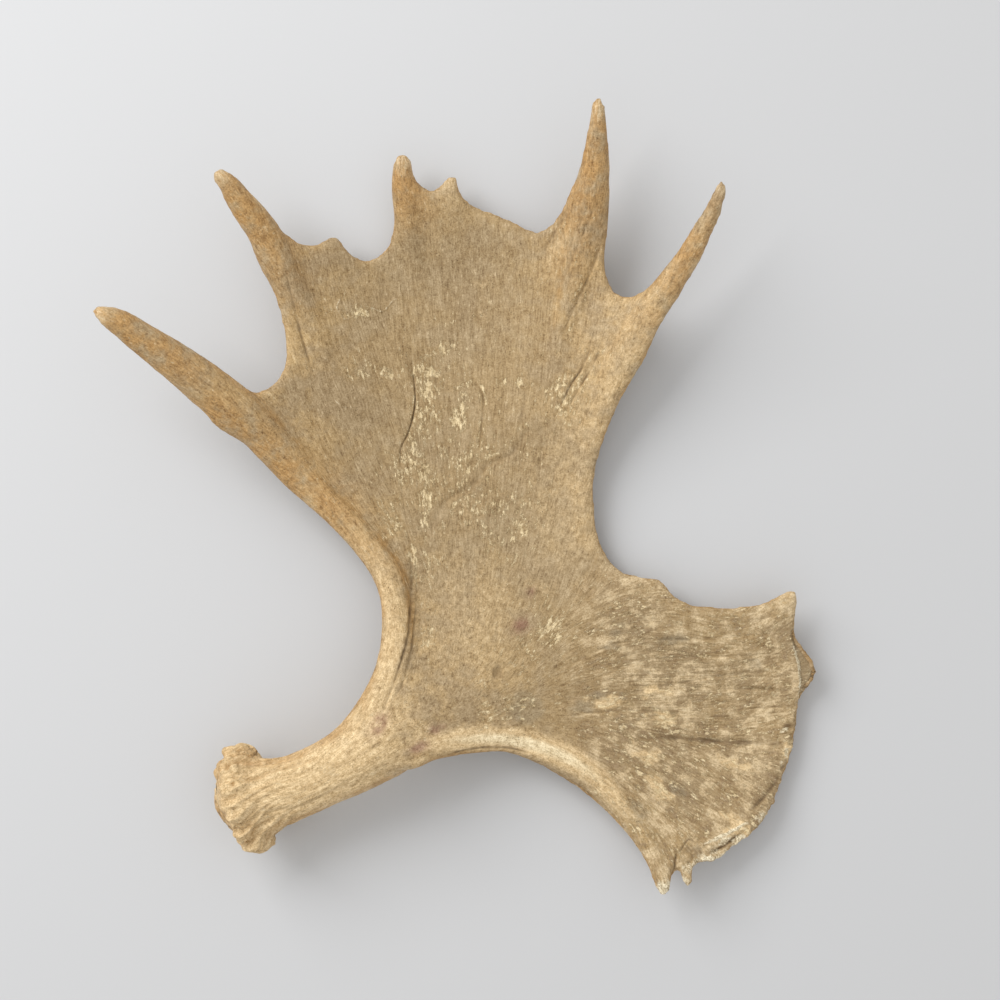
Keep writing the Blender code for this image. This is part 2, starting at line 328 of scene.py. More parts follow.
# ----------------------------------------------------------------------------------------
# The burr and the foot of the beam. The burr is the knobbly collar at the root of the antler.
# The beam flares into it in flutes, which end in round pearls of bone, and behind it is the
# rough seal where the antler came off the skull.
BURR_MIDDLE = (0.200, 0.124)
BURR_HEIGHT = 39 * MM
BURR_HEADING, BURR_LEAN = math.radians(14), math.radians(16)
BURR_RADIUS = 44 * MM
BURR_REACH = 0.11
FLARE_LENGTH = 24
FLUTES = 6.5
FLUTE_TWIST = 0.012
FLUTE_HEIGHT, FINE_FLUTE_HEIGHT = 3.2, 4.0
PEARLS = 96
PEARL_SIZES = (1.6, 3.6)
PEARL_SQUASH = 0.86


def mark(name, where, amount):
    """Raise a mark to the amount, where it is less."""
    marks[name][where] = np.maximum(marks[name][where], amount)


def beside(line, reach):
    """The upper spots of the bone near a line: their distance from it, side and way along it."""
    low, high = line.min(axis=0) - reach, line.max(axis=0) + reach
    inside = np.all((points[:, :2] > low) & (points[:, :2] < high), axis=1)
    spots = np.flatnonzero(inside & (outward[:, 2] > 0))
    away, side, along, way = distance_along(line, points[spots, :2])
    return spots, away, side, along


def fading(along):
    """1 in the middle of a line, falling to 0 at both its ends."""
    return np.clip(np.sin(math.pi * np.clip(along, 0, 1)), 0, 1)


def groove(shares, width, depth, darkening=1.0, lips=0.0):
    """A groove or crack along a curve, width and depth in mm, with pale lips where it is worn."""
    spots, away, side, along = beside(flowing(shares), 6 * width * MM)
    away = away / MM + 0.35 * width * bumps(3, 41, spots)
    uneven = 1 + 0.4 * bumps(9, 42, spots)
    strength = np.exp(-(away / width) ** 2) * fading(along) ** 0.35 * uneven
    relief[spots] -= depth * strength
    mark("groove", spots, np.clip(darkening * strength, 0, 1))
    if lips:
        lip = np.exp(-((np.abs(away) - 2.6 * width) / (1.1 * width)) ** 2)
        mark("chip", spots, np.clip(lips * lip * (0.5 + uneven) * fading(along) ** 0.5, 0, 1))


def ball(place, reach):
    """The spots of the bone around a place, and how near each is: 1 there, 0 past its reach."""
    spots = np.flatnonzero(np.all(np.abs(points - place) < (25 + 2.5 * reach) * MM, axis=1))
    nearest = np.argmin(np.sum((points[spots] - place) ** 2, axis=1))
    away = np.sum((points[spots] - points[spots[nearest]]) ** 2, axis=1)
    return spots, np.exp(-away / (reach * MM) ** 2)


level = np.array([math.cos(BURR_HEADING), math.sin(BURR_HEADING), 0])
upright = np.array([0, 0, 1.0])
beam_axis = level * math.cos(BURR_LEAN) + upright * math.sin(BURR_LEAN)
beam_across = np.array([-math.sin(BURR_HEADING), math.cos(BURR_HEADING), 0])
beam_up = np.cross(beam_axis, beam_across)
burr_middle = np.append(in_plan(BURR_MIDDLE), BURR_HEIGHT)

offset = points - burr_middle
ahead = offset @ beam_axis / MM
around = np.arctan2(offset @ beam_up, offset @ beam_across)
near_burr = (ahead < 90) & (ahead > -40) & (np.linalg.norm(offset, axis=1) < BURR_REACH)
flare = np.where(near_burr, np.exp(-(np.maximum(ahead, 0) / FLARE_LENGTH)), 0)
flare = flare * swelling(ahead, -13, -6)
winding_round = around + FLUTE_TWIST * np.clip(ahead, 0, 40)
ring = [np.cos(winding_round) * FLUTES, np.sin(winding_round) * FLUTES]
flutes = lumps(np.column_stack([*ring, ahead / 70]), 11)
fine_flutes = lumps(np.column_stack([*ring, ahead / 90]) * 2.2, 12)
relief += flare * (FLUTE_HEIGHT * flutes + FINE_FLUTE_HEIGHT * fine_flutes)
between_flutes = swelling(-0.6 * flutes - fine_flutes, 0.3, 1.0)
mark("groove", EVERYWHERE, 0.5 * flare * between_flutes)

randoms = np.random.default_rng(3)
for number in range(PEARLS):
    turn = math.tau * (number + randoms.uniform(-0.4, 0.4)) / PEARLS
    spoke = beam_across * math.cos(turn) + beam_up * math.sin(turn) * PEARL_SQUASH
    place = burr_middle + spoke * BURR_RADIUS + beam_axis * randoms.uniform(-15, 9) * MM
    size = randoms.uniform(*PEARL_SIZES)
    spots, pearl = ball(place, size)
    relief[spots] += pearl * size * 0.7
    marks["groove"][spots] *= 1 - 0.7 * pearl

# The biggest lobes stand out around the burr, with pits beside them, and deep grooves part them.
LOBES = [((0.158, 0.166), 44, 7, 6.0), ((0.152, 0.156), 50, 4, 3.0), ((0.172, 0.181), 40, 6, 3.5),
         ((0.184, 0.184), 42, 5, 2.0), ((0.185, 0.123), 78, 4, 2.0), ((0.193, 0.107), 75, 4, 2.2),
         ((0.178, 0.133), 76, 3, 1.8), ((0.170, 0.118), 66, 4, 2.0), ((0.192, 0.080), 62, 4, 2.2),
         ((0.206, 0.073), 60, 4, 2.6), ((0.219, 0.069), 57, 4, 2.6), ((0.232, 0.068), 47, 4, 2.6)]
for shares, height, size, rise in LOBES:
    spots, lobe = ball(np.append(in_plan(shares), height * MM), size)
    relief[spots] += rise * lobe
PITS = [((0.181, 0.146), 76, 2.4, 3.2), ((0.188, 0.139), 76, 1.6, 1.5), ((0.172, 0.126), 66, 1.8, 1.6),
        ((0.186, 0.096), 68, 1.8, 1.6)]
for shares, height, size, depth in PITS:
    spots, pit = ball(np.append(in_plan(shares), height * MM), size)
    relief[spots] -= depth * pit
    mark("groove", spots, 0.55 * pit * (1 + 0.8 * bumps(2, 43, spots)))
groove([(0.158, 0.172), (0.178, 0.160), (0.196, 0.153), (0.214, 0.153), (0.236, 0.162),
        (0.262, 0.167), (0.300, 0.180)], 1.6, 2.6, 0.45)
groove([(0.168, 0.179), (0.190, 0.171), (0.216, 0.169), (0.240, 0.174)], 1.4, 2.4, 0.45)
groove([(0.176, 0.186), (0.196, 0.178), (0.214, 0.176)], 1.3, 2.2, 0.45)
groove([(0.184, 0.192), (0.203, 0.184), (0.222, 0.181)], 1.2, 2.0, 0.45)
groove([(0.203, 0.094), (0.232, 0.112), (0.276, 0.118), (0.330, 0.142)], 1.8, 1.4, 0.25)
groove([(0.198, 0.070), (0.212, 0.090), (0.238, 0.104)], 1.5, 3.0, 0.4)
groove([(0.212, 0.066), (0.224, 0.084), (0.248, 0.098)], 1.5, 3.0, 0.4)
groove([(0.226, 0.064), (0.237, 0.080), (0.262, 0.095)], 1.5, 2.8, 0.4)
groove([(0.240, 0.066), (0.251, 0.080), (0.272, 0.096)], 1.4, 2.6, 0.4)
seal = np.where(near_burr, swelling(-ahead, 12, 18), 0)
relief += seal * (1.0 * bumps(7, 13) + 0.7 * bumps(3, 14))
mark("groove", EVERYWHERE, 0.8 * seal * swelling(bumps(4, 15), 0, 0.5))
marks["gold"] *= 1 - 0.8 * flare

# ----------------------------------------------------------------------------------------
# The front rim. The beam runs on as a round rib along the front of the main palm. Vessel
# grooves part it from the hollow, and it turns from straw-coloured to golden along its length.
RIM_LINE = [(0.380, 0.225), (0.398, 0.300), (0.392, 0.380), (0.345, 0.456), (0.262, 0.532),
            (0.160, 0.610)]

spots, away, side, along = beside(flowing(RIM_LINE, 8 * MM), 40 * MM)
mark("straw", spots, np.exp(-(away / (17 * MM)) ** 2) * (0.92 - 1.0 * along))
mark("gold", spots, np.exp(-(away / (20 * MM)) ** 2) * swelling(along, 0.3, 0.7))
groove([(0.425, 0.440), (0.427, 0.400), (0.426, 0.346), (0.420, 0.317), (0.408, 0.282), (0.389, 0.236)],
       1.5, 1.9, 0.65)
groove([(0.433, 0.423), (0.434, 0.378), (0.432, 0.346), (0.427, 0.308), (0.415, 0.268), (0.401, 0.249)],
       1.2, 1.4, 0.50)
groove([(0.441, 0.405), (0.442, 0.370), (0.438, 0.330), (0.430, 0.295)], 2.4, 0.6, 0.15)
groove([(0.371, 0.420), (0.330, 0.470), (0.262, 0.545)], 1.6, 0.7, 0.4)

# ----------------------------------------------------------------------------------------
# The main palm's hollow. It has dried and weathered hollow side up: it is split along its
# growth in two places, flakes have come off along the splits, and blood vessels have left
# grooves that fan out from the fork.
groove([(0.424, 0.675), (0.427, 0.664), (0.430, 0.634), (0.428, 0.611), (0.420, 0.585), (0.410, 0.566),
        (0.409, 0.542)], 0.75, 2.0, 0.9, 0.6)
groove([(0.409, 0.545), (0.413, 0.505), (0.423, 0.446), (0.425, 0.398)], 0.9, 0.6, 0.35, 0.4)
groove([(0.507, 0.665), (0.517, 0.648), (0.527, 0.630), (0.525, 0.594), (0.521, 0.565)],
       0.8, 1.3, 0.6, 0.8)
groove([(0.684, 0.712), (0.668, 0.670), (0.650, 0.645), (0.625, 0.599)], 1.3, 1.6, 0.65, 0.4)
groove([(0.698, 0.706), (0.680, 0.668), (0.661, 0.640), (0.640, 0.605)], 1.1, 1.2, 0.55, 0.4)
groove([(0.625, 0.599), (0.606, 0.586), (0.588, 0.586), (0.573, 0.563), (0.554, 0.553), (0.532, 0.543),
        (0.512, 0.518), (0.493, 0.510), (0.472, 0.495), (0.455, 0.466), (0.440, 0.457)],
       2.6, 1.3, 0.35, 0.45)
groove([(0.616, 0.577), (0.609, 0.556), (0.607, 0.514)], 1.0, 0.8, 0.4)
groove([(0.692, 0.640), (0.671, 0.607), (0.653, 0.580)], 1.0, 0.6, 0.35, 0.3)
groove([(0.719, 0.691), (0.689, 0.681), (0.676, 0.668), (0.658, 0.638)], 1.0, 0.6, 0.35, 0.3)
groove([(0.251, 0.788), (0.270, 0.714), (0.290, 0.652)], 1.4, 1.0, 0.6)
THIRD_TINE_GROOVES = [
    [(0.692, 0.880), (0.668, 0.835), (0.640, 0.780), (0.618, 0.740)],
    [(0.676, 0.870), (0.648, 0.820), (0.622, 0.775)],
    [(0.700, 0.840), (0.680, 0.790), (0.652, 0.735), (0.634, 0.700)],
    [(0.655, 0.875), (0.632, 0.845), (0.606, 0.800)],
]
for shares in THIRD_TINE_GROOVES:
    groove(shares, 1.5, 1.0, 0.42, 0.3)


def patch(shares, reach, squash=1.0, turn=0.0):
    """The spots of a soft oval on the upper side, and how near each is to its middle, 0 to 1."""
    offset = (points[:, :2] - in_plan(shares)) / (reach * MM)
    spots = np.flatnonzero(np.all(np.abs(offset) < 2.5 * max(1, squash), axis=1))
    offset = offset[spots]
    c, s = math.cos(math.radians(turn)), math.sin(math.radians(turn))
    ahead = offset[:, 0] * c + offset[:, 1] * s
    aside = (offset[:, 1] * c - offset[:, 0] * s) / squash
    return spots, np.exp(-(ahead ** 2 + aside ** 2)) * (outward[spots, 2] > 0)


def pale_line(shares, width, amount):
    """A bright ragged line along a curve, where the thin outer skin of the bone has lifted."""
    spots, away, side, along = beside(flowing(shares), 5 * width * MM)
    away = away / MM + 0.4 * width * bumps(2.5, 44, spots)
    bright = np.exp(-(away / width) ** 2) * fading(along) ** 0.3
    relief[spots] += 0.45 * width * bright
    mark("broken", spots, amount * bright)


pale_line([(0.316, 0.775), (0.325, 0.758), (0.320, 0.745), (0.332, 0.730), (0.352, 0.738)], 0.8, 0.55)
pale_line([(0.344, 0.735), (0.366, 0.745), (0.384, 0.741), (0.401, 0.757), (0.414, 0.752)], 0.8, 0.55)
pale_line([(0.300, 0.655), (0.322, 0.622), (0.351, 0.618)], 0.7, 0.40)
groove([(0.550, 0.357), (0.548, 0.334), (0.547, 0.309)], 1.4, 0.9, 0.4)
groove([(0.467, 0.178), (0.509, 0.186), (0.551, 0.187), (0.593, 0.179)], 1.6, 1.4, 0.7)
groove([(0.600, 0.700), (0.590, 0.640), (0.570, 0.560)], 1.2, 0.5, 0.4)
groove([(0.500, 0.560), (0.490, 0.470), (0.470, 0.380)], 1.1, 0.4, 0.35)

# An oval pit, about 2 mm deep, lies above the fork, with a round grey patch beside it.
spots, pit = patch((0.548, 0.281), 5.5, 1.35)
pit *= 1 + 0.2 * bumps(4, 30, spots)
relief[spots] -= 1.8 * swelling(pit, 0.25, 0.75)
mark("groove", spots, 0.50 * swelling(pit, 0.30, 0.55))
spots, grey = patch((0.587, 0.235), 15)
mark("patch", spots, swelling(grey * (1 + 0.25 * bumps(7, 31, spots)), 0.25, 0.5))

# The blood of the velvet left mauve stains near the fork.
STAINS = [((0.384, 0.222), 9, 0.6, 60), ((0.463, 0.213), 6, 0.6, 10), ((0.439, 0.192), 8, 0.5, 20),
          ((0.582, 0.340), 8, 0.7, 30), ((0.594, 0.381), 4, 0.7, 30)]
for shares, reach, squash, turn in STAINS:
    spots, stain = patch(shares, reach, squash, turn)
    mark("stain", spots, np.clip(stain * (1.5 + 0.6 * bumps(4, 16, spots)), 0, 1))

# Thin flakes are missing where the hollow is most weathered, and small specks around there.
FLAKED = [((0.355, 0.663), 12, 0.7, 0), ((0.394, 0.661), 13, 0.5, 0), ((0.445, 0.662), 20, 0.5, 0),
          ((0.470, 0.695), 9, 0.6, 90), ((0.490, 0.600), 9, 1.6, 0), ((0.430, 0.564), 12, 0.8, 110),
          ((0.446, 0.532), 12, 0.8, 100), ((0.448, 0.500), 14, 0.7, 90), ((0.443, 0.469), 10, 0.7, 90),
          ((0.560, 0.651), 9, 0.6, 0), ((0.577, 0.648), 9, 0.6, 0), ((0.452, 0.640), 13, 0.8, 90),
          ((0.500, 0.630), 24, 0.3, 90), ((0.430, 0.420), 22, 0.2, 95), ((0.350, 0.740), 20, 0.3, 0)]
SPECKLED = [((0.415, 0.540), 30, 0.8, 90), ((0.445, 0.600), 24, 1.0, 0), ((0.475, 0.690), 24, 1.0, 0),
            ((0.400, 0.470), 26, 0.7, 100), ((0.445, 0.420), 26, 0.6, 90), ((0.640, 0.630), 30, 0.7, 60),
            ((0.500, 0.560), 34, 1.0, 0), ((0.560, 0.470), 40, 1.0, 0), ((0.450, 0.330), 24, 0.5, 80),
            ((0.620, 0.330), 40, 0.8, 30), ((0.560, 0.240), 40, 0.5, 0)]
flaking = 0.42 * brow_share
for most, places in [(0.95, FLAKED), (0.62, SPECKLED)]:
    for shares, reach, squash, turn in places:
        spots, weathered = patch(shares, reach, squash, turn)
        flaking[spots] = np.maximum(flaking[spots], most * weathered)
flakes = furrows(3.2, 10, 17) + 0.5 * furrows(1.7, 5, 18)
flake = swelling(flakes, 1.25 - 1.15 * flaking, 1.55 - 1.15 * flaking) * upper * (1 - beam_share)
relief -= 0.25 * flake
mark("chip", EVERYWHERE, np.clip(flaking + 0.25 * flake, 0, 1) * upper * (1 - beam_share))
marks["weathered"] = np.clip(brow_share + 0.25, 0, 1) * (1 - beam_share)

# ----------------------------------------------------------------------------------------
# The tines. The bull rubbed them on trees, so they are golden brown towards their ends, and
# worn pale and shiny at their points. Vessel grooves run out along the longest of them.
TINE_TIPS = [(0.006, 0.728, 115), (0.161, 0.901, 80), (0.416, 0.929, 42), (0.485, 0.906, 33),
             (0.686, 0.988, 82), (0.854, 0.889, 100), (0.964, 0.381, 41)]
TINES = [[(0.205, 0.590), (0.094, 0.678), (0.006, 0.728)],
         [(0.277, 0.727), (0.220, 0.830), (0.161, 0.901)],
         [(0.425, 0.830), (0.416, 0.929)],
         [(0.640, 0.750), (0.665, 0.850), (0.686, 0.988)],
         [(0.720, 0.675), (0.799, 0.778), (0.854, 0.889)]]

tine_share = np.zeros(len(points))
for shares in TINES:
    spots, away, side, along = beside(flowing(shares, 10 * MM), 40 * MM)
    tine_share[spots] = np.maximum(tine_share[spots], np.exp(-(away / (22 * MM)) ** 2) * along)
# The end of the fourth tine has gone grey.
mark("patch", spots, 1.3 * np.exp(-(away / (22 * MM)) ** 2) * swelling(along, 0.60, 1.0))
mark("gold", EVERYWHERE, np.clip(1.7 * tine_share, 0, 1))
for across_box, along_box, height in TINE_TIPS:
    spots, near_tip = ball(np.append(in_plan((across_box, along_box)), height * MM), 13)
    mark("tip", spots, near_tip)
    relief[spots] += 0.5 * near_tip * bumps(5, 19, spots)
relief += 0.5 * tine_share * bumps(11, 20)
groove([(0.060, 0.702), (0.110, 0.668), (0.170, 0.628), (0.215, 0.590)], 1.5, 0.7, 0.4)
groove([(0.100, 0.690), (0.160, 0.650), (0.225, 0.605)], 1.1, 0.5, 0.3)
groove([(0.662, 0.780), (0.672, 0.860), (0.684, 0.940)], 1.2, 0.5, 0.3)
groove([(0.760, 0.722), (0.800, 0.790), (0.840, 0.860)], 1.2, 0.5, 0.4)

# ----------------------------------------------------------------------------------------
# The brow palm. It is the most weathered part: its furrows fan out to its edge, a ridge runs
# along the arch under it, and its outer edge is broken, with a thin flap left at its far end.
RIDGE = [(0.600, 0.180), (0.636, 0.164), (0.679, 0.150), (0.704, 0.131), (0.731, 0.108), (0.754, 0.081),
         (0.770, 0.057)]
spots, away, side, along = beside(flowing(RIDGE), 22 * MM)
crest = np.exp(-(away / (5 * MM)) ** 2) * fading(along) ** 0.4
beyond = (side < 0) * swelling(away, 0, 14 * MM) * fading(along) ** 0.4
relief[spots] += 1.6 * crest - 1.8 * beyond
mark("straw", spots, 0.35 * crest)
mark("patch", spots, 0.55 * beyond)

BROW_GROOVES = [
    ([(0.742, 0.195), (0.791, 0.195), (0.884, 0.189), (0.964, 0.188)], 2.7, 1.2, 1.2),
    ([(0.854, 0.256), (0.908, 0.258), (0.966, 0.256)], 1.3, 1.1, 0.8),
    ([(0.902, 0.231), (0.936, 0.235), (0.964, 0.235)], 1.2, 1.0, 0.8),
    ([(0.700, 0.245), (0.790, 0.262), (0.880, 0.276), (0.960, 0.282)], 1.2, 0.8, 0.6),
    ([(0.660, 0.262), (0.760, 0.294), (0.880, 0.300), (0.955, 0.303)], 1.2, 0.7, 0.5),
    ([(0.640, 0.285), (0.730, 0.318), (0.840, 0.322), (0.945, 0.330)], 1.3, 0.8, 0.5),
    ([(0.650, 0.225), (0.740, 0.230), (0.840, 0.222), (0.960, 0.212)], 1.2, 0.7, 0.5),
    ([(0.660, 0.205), (0.740, 0.176), (0.830, 0.150), (0.930, 0.128)], 1.3, 0.8, 0.5),
    ([(0.680, 0.190), (0.760, 0.150), (0.840, 0.112), (0.900, 0.092)], 1.3, 0.8, 0.6),
    ([(0.700, 0.165), (0.760, 0.125), (0.815, 0.085)], 1.4, 0.9, 0.6),
]
for shares, width, depth, darkening in BROW_GROOVES:
    groove(shares, width, 1.2 * depth, 0.6 * darkening)


def torn_edge(spots, seed):
    """Noise that tears the edge of a patch."""
    coarse, fine = bumps(6, seed, spots), bumps(2.5, seed + 1, spots)
    return 0.5 * coarse + 0.35 * fine


PALE_PATCHES = [((0.775, 0.256), 12, 0.5, 0), ((0.783, 0.218), 11, 0.6, 0),
                ((0.764, 0.173), 10, 0.6, -20), ((0.774, 0.132), 12, 0.6, -40),
                ((0.891, 0.162), 12, 0.5, -10), ((0.891, 0.079), 14, 0.6, -30),
                ((0.957, 0.179), 9, 0.6, -10), ((0.700, 0.240), 16, 0.4, 10)]
for shares, reach, squash, turn in PALE_PATCHES:
    spots, pale = patch(shares, 1.3 * reach, squash, turn)
    pale = swelling(pale + torn_edge(spots, 45), 0.35, 0.85)
    mark("chip", spots, 0.9 * pale * swelling(flakes[spots], -0.5, 0.3))
    mark("straw", spots, 0.95 * pale)
# Grey smudges between the pale patches, where the old skin of the bone is left.
SMUDGES = [((0.726, 0.337), 12, 0.5, 20), ((0.712, 0.311), 8, 0.8, 0), ((0.802, 0.324), 14, 0.5, 10),
           ((0.910, 0.292), 9, 0.7, 0), ((0.670, 0.235), 10, 0.8, 0), ((0.690, 0.248), 9, 0.8, 0),
           ((0.805, 0.128), 9, 0.6, -30), ((0.745, 0.110), 12, 0.5, -40)]
for shares, reach, squash, turn in SMUDGES:
    spots, smudge = patch(shares, reach, squash, turn)
    mark("patch", spots, 1.3 * swelling(smudge + torn_edge(spots, 47), 0.3, 0.9))

# The far end broke once: what is left of it is a flap a few mm lower, behind a bright break.
FLAP = [(0.962, 0.340), (0.965, 0.322), (0.968, 0.310), (0.974, 0.288), (0.977, 0.257), (0.975, 0.240)]
spots, away, side, along = beside(flowing(FLAP), 22 * MM)
outer = side * away / MM + 0.5 * bumps(5, 21, spots)
beyond = swelling(outer, -0.6, 1.2) * swelling(along, 0.02, 0.15) * swelling(-along, -0.98, -0.85)
relief[spots] -= 3.4 * beyond
# Painted shade: the flap, which faces away from the light, is painted grey.
mark("patch", spots, 0.75 * beyond)
bright = 0.85 * np.exp(-((outer - 0.2) / 1.1) ** 2) * swelling(along, 0.1, 0.3) * (along < 0.93)
mark("broken", spots, bright)

# The edge below it is broken all along, down to the two short spikes at the end of the arch.
BREAK = [(0.985, 0.236), (0.968, 0.214), (0.960, 0.190), (0.953, 0.150), (0.940, 0.120), (0.915, 0.088),
         (0.880, 0.066), (0.845, 0.050), (0.812, 0.032)]
spots, away, side, along = beside(flowing(BREAK), 16 * MM)
ragged = np.exp(-(away / (7 * MM)) ** 2)
teeth = 1.3 * bumps(5, 22, spots) + 0.8 * bumps(2.5, 23, spots)
relief[spots] += ragged * teeth
bright = swelling(bumps(6, 24, spots) + 0.8 * along, 0.35, 0.8)
mark("broken", spots, 0.55 * ragged * bright)
groove([(0.964, 0.180), (0.950, 0.150), (0.930, 0.125), (0.905, 0.103), (0.885, 0.088)], 2.2, 1.2, 0.7)
# A deep crack between the two bright lips laid below, painted dark brown in full: painted shade in the
# cavity.
groove([(0.848, 0.052), (0.864, 0.058), (0.882, 0.068), (0.898, 0.079)], 2.2, 3.4, 1.0)
groove([(0.797, 0.043), (0.808, 0.058), (0.819, 0.069), (0.832, 0.062), (0.848, 0.055)], 1.1, 1.0, 0.55)
groove([(0.800, 0.055), (0.799, 0.042), (0.797, 0.026)], 1.3, 1.8, 0.8)
# A facet of the break, lowered and painted dark brown: painted shade.
spots, facet = patch((0.822, 0.053), 12, 0.8, 15)
facet = facet + 0.4 * bumps(5, 49, spots) + 0.3 * bumps(2, 50, spots)
relief[spots] -= 1.2 * swelling(facet, 0.2, 0.8)
mark("groove", spots, 0.55 * swelling(facet, 0.2, 1.0))
pale_line([(0.838, 0.062), (0.863, 0.072), (0.881, 0.079), (0.903, 0.090)], 1.5, 1.15)
pale_line([(0.843, 0.042), (0.865, 0.048), (0.884, 0.060), (0.899, 0.073)], 1.5, 1.15)
# Holes in the broken edge, lowered and painted dark brown: painted shade in the holes.
HOLES = [((0.856, 0.055), 6, 0.5, 20, 3.0), ((0.797, 0.024), 5, 0.6, 90, 2.5),
         ((0.960, 0.211), 5, 0.6, 30, 1.6)]
for shares, reach, squash, turn, depth in HOLES:
    spots, hole = patch(shares, reach, squash, turn)
    relief[spots] -= depth * hole
    mark("groove", spots, 0.9 * hole)

# The freshest breaks are still white.
BRIGHT_BREAKS = [((0.868, 0.066), 7, 0.4, 30), ((0.890, 0.070), 7, 0.4, 30),
                 ((0.784, 0.009), 9, 1.0, 0), ((0.810, 0.014), 7, 0.8, 90),
                 ((0.845, 0.045), 6, 0.5, 20), ((0.956, 0.206), 5, 0.4, 30)]
for shares, reach, squash, turn in BRIGHT_BREAKS:
    spots, white = patch(shares, reach, squash, turn)
    mark("broken", spots, white * (1.05 + 0.4 * bumps(3, 25, spots)))

# ----------------------------------------------------------------------------------------
# The back. It is the convex side of the palms and the lower side of the beam, which the antler
# lies on. It is plain and round and a little golden, with long shallow furrows and channels.
lower = swelling(-outward[:, 2], 0.0, 0.5)
relief += lower * (0.35 * streaks + 0.2 * fine_streaks + 0.5 * bumps(24, 26))
winding = lower * channels(14, 120, 0.09, 27)
relief -= 0.5 * winding
mark("groove", EVERYWHERE, 0.5 * winding)
mark("gold", EVERYWHERE, 0.3 * lower)

# ----------------------------------------------------------------------------------------
# The hollow's colour. It is darker grey-brown towards its lowest part. The bone is paler towards the
# fork, and towards the back rim, which is painted light where that side of the hollow faces the light,
# and palest along the arch, where a highlight is painted.
# Darker grey-brown towards the lowest part of the hollow.
depth_share = 1 - swelling(points[:, 2], 0.016, 0.045)
marks["darkening"] = depth_share * upper
spots, pale = patch((0.640, 0.825), 26, 0.5, 60)
mark("straw", spots, 0.55 * pale * upper[spots])
# Painted light: the right flank of the hollow, the side that faces the light, is painted paler with
# straw.
lit_right_flank = swelling(points[:, 0] - 0.35 * points[:, 1], 0.02, 0.10)
lit_right_flank *= swelling(points[:, 1], -0.13, -0.02)
mark("straw", EVERYWHERE, 0.42 * lit_right_flank * upper)
# Along the arch rim the straw mark is a painted highlight: it rises to 1.6 there, and above 1 it paints
# the bone cream.
ARCH_LINE = [(0.400, 0.205), (0.450, 0.198), (0.502, 0.199), (0.560, 0.197), (0.628, 0.180),
             (0.690, 0.145), (0.740, 0.090)]
spots, away, side, along = beside(flowing(ARCH_LINE, 8 * MM), 40 * MM)
mark("straw", spots, 1.6 * np.exp(-(away / (10 * MM)) ** 2) * upper[spots] * fading(along) ** 0.6)
spots, pale = patch((0.50, 0.34), 80, 0.8, 90)
mark("straw", spots, 0.42 * pale * upper[spots])

# ----------------------------------------------------------------------------------------
# Parting. The carved skin is lightened where it is plain, parted upright at the main fork in
# three closed pieces, and each piece keeps the roundness the whole bone has at its cuts.
WHOLE_TRIANGLES = 310000
CUT_MERGE = 0.00001


def middle_between(one, other):
    """A point on the cut between two neighbouring nodes, and the way the cut faces in plan."""
    corners = [vertex_array(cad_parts[name].data) for name in (one, other)]
    tree = kdtree.KDTree(len(corners[1]))
    for index, place in enumerate(corners[1]):
        tree.insert(place, index)
    tree.balance()
    faced = [place for place in corners[0] if tree.find(place)[2] < CUT_GAP]
    middle = np.mean(faced, axis=0)
    spread = np.linalg.svd((np.array(faced) - middle)[:, :2])[2]
    facing = np.array([spread[1][0], spread[1][1], 0])
    if facing @ (corners[1].mean(axis=0) - middle) < 0:
        facing = -facing
    return middle, facing


def parted(mesh, cuts):
    """The closed part of a mesh on the kept side of some cuts: each a point and a way out."""
    solid = bmesh.new()
    solid.from_mesh(mesh)
    for point, out in cuts:
        everything = solid.verts[:] + solid.edges[:] + solid.faces[:]
        bmesh.ops.bisect_plane(solid, geom=everything, dist=CUT_MERGE, plane_co=Vector(point),
                               plane_no=Vector(out), clear_outer=True)
        rim = [edge for edge in solid.edges if edge.is_boundary]
        bmesh.ops.holes_fill(solid, edges=rim)
        bmesh.ops.triangulate(solid, faces=[face for face in solid.faces if len(face.verts) > 3])
    part = bpy.data.meshes.new("part")
    solid.to_mesh(part)
    solid.free()
    return part


def numbers(items, name, size, kind=np.float32):
    """One property of many vertices, faces or corners, as rows of numbers."""
    flat = np.empty(len(items) * size, dtype=kind)
    items.foreach_get(name, flat)
    return flat.reshape(-1, size)


def round_over_cuts(part, cuts):
    """Give the part the normals of the whole bone, and leave only its cut faces flat."""
    normals = numbers(part.attributes["whole_normal"].data, "vector", 3)
    normals /= np.linalg.norm(normals, axis=1, keepdims=True)
    middles, facings = numbers(part.polygons, "center", 3), numbers(part.polygons, "normal", 3)
    on_cut = np.zeros(len(middles), dtype=bool)
    for point, out in cuts:
        on_cut |= (np.abs((middles - point) @ out) < 5 * CUT_MERGE) & (np.abs(facings @ out) > 0.99)
    corners = numbers(part.loops, "vertex_index", 1, np.int32)[:, 0]
    faces = np.repeat(np.arange(len(middles)), numbers(part.polygons, "loop_total", 1, np.int32)[:, 0])
    corner_normals = np.where(on_cut[faces, None], facings[faces], normals[corners])
    part.attributes.remove(part.attributes["whole_normal"])
    part.shade_smooth()
    part.normals_split_custom_set(corner_normals.tolist())


moved = points + outward * (relief * MM)[:, None]
moved[:, 2] = np.maximum(moved[:, 2], 0)
move_vertices(bone, moved)
for name, values in marks.items():
    layer = bone.attributes.new(name, "FLOAT", "POINT")
    layer.data.foreach_set("value", values.astype(np.float32))
share = WHOLE_TRIANGLES / (2 * len(bone.polygons))
bone = evaluated(bone, [("DECIMATE", {"ratio": min(1, share)})])
layer = bone.attributes.new("whole_normal", "FLOAT_VECTOR", "POINT")
layer.data.foreach_set("vector", normal_array(bone).astype(np.float32).ravel())

